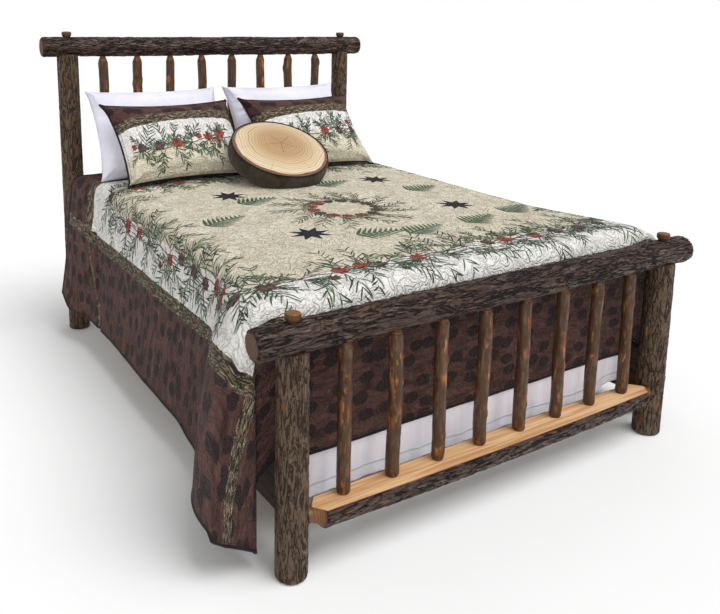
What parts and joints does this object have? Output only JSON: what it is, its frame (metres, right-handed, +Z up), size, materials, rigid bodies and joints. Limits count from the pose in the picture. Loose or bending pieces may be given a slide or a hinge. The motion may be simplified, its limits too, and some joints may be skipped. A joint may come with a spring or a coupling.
{
  "type": "log bed",
  "caption": "Rustic log bed with tall spindled headboard and low spindled footboard, hook-on side rails, slats, mattress, quilt and pillows.",
  "frame": {"origin": "on the floor, at the middle of the bed's plan", "axes": "+X to the right seen from the foot, +Y from the foot to the head, +Z up"},
  "size_m": [2.076, 2.3266, 1.527],
  "materials": {
    "bark_log": "dark hickory bark under a gloss coat",
    "stained_board": "sawn board, dark stain",
    "sawn_pine": "planed, unfinished",
    "zinc_steel": "zinc plated",
    "glide_plastic": "matte",
    "ticking": "woven ticking",
    "skirt_cotton": "white cotton",
    "quilt_cotton": "quilted cotton",
    "pillow_cotton": "white cotton",
    "sham_cotton": "quilted cotton",
    "cushion_velvet": "short pile"
  },
  "bodies": {
    "root": {"head_post_left": "bark_log", "head_post_right": "bark_log", "foot_post_left": "bark_log", "foot_post_right": "bark_log", "head_top_rail": "bark_log", "foot_top_rail": "bark_log", "head_lower_rail": "bark_log", "foot_lower_rail": "bark_log", "head_spindle_1": "bark_log", "head_spindle_2": "bark_log", "head_spindle_3": "bark_log", "head_spindle_4": "bark_log", "head_spindle_5": "bark_log", "head_spindle_6": "bark_log", "head_spindle_7": "bark_log", "head_spindle_8": "bark_log", "foot_spindle_1": "bark_log", "foot_spindle_2": "bark_log", "foot_spindle_3": "bark_log", "foot_spindle_4": "bark_log", "foot_spindle_5": "bark_log", "foot_spindle_6": "bark_log", "foot_spindle_7": "bark_log", "foot_spindle_8": "bark_log", "head_peg_left": "bark_log", "head_peg_right": "bark_log", "foot_peg_left": "bark_log", "foot_peg_right": "bark_log", "side_rail_left": "stained_board", "side_rail_right": "stained_board", "side_cleat_left": "sawn_pine", "side_cleat_right": "sawn_pine", "slat_1": "sawn_pine", "slat_2": "sawn_pine", "slat_3": "sawn_pine", "slat_4": "sawn_pine", "slat_5": "sawn_pine", "support_legs": "sawn_pine", "post_slot_plates": "zinc_steel", "rail_hook_plates": "zinc_steel", "bracket_screws": "zinc_steel", "platform_screws": "zinc_steel", "leg_glides": "glide_plastic", "box_spring": "ticking", "mattress": "ticking", "skirt_deck": "skirt_cotton", "skirt_left": "skirt_cotton", "skirt_right": "skirt_cotton", "skirt_foot": "skirt_cotton", "quilt_top": "quilt_cotton", "quilt_foot_drop": "quilt_cotton", "quilt_left_drop": "quilt_cotton", "quilt_right_drop": "quilt_cotton", "quilt_left_corner": "quilt_cotton", "quilt_right_corner": "quilt_cotton", "white_pillow_left": "pillow_cotton", "white_pillow_right": "pillow_cotton"},
    "sham_left": {"sham_left": "sham_cotton"},
    "sham_right": {"sham_right": "sham_cotton"},
    "round_cushion": {"round_cushion": "cushion_velvet"}
  },
  "joints": [
    {"name": "sham_left_lift", "type": "slide", "parent": "root", "child": "sham_left", "axis": [0, 0.4695, 0.8829], "range_m": [0, 0.3]},
    {"name": "sham_right_lift", "type": "slide", "parent": "root", "child": "sham_right", "axis": [0, 0.4695, 0.8829], "range_m": [0, 0.3]},
    {"name": "cushion_lift", "type": "slide", "parent": "root", "child": "round_cushion", "axis": [0, 0, 1], "range_m": [0, 0.3]}
  ]
}
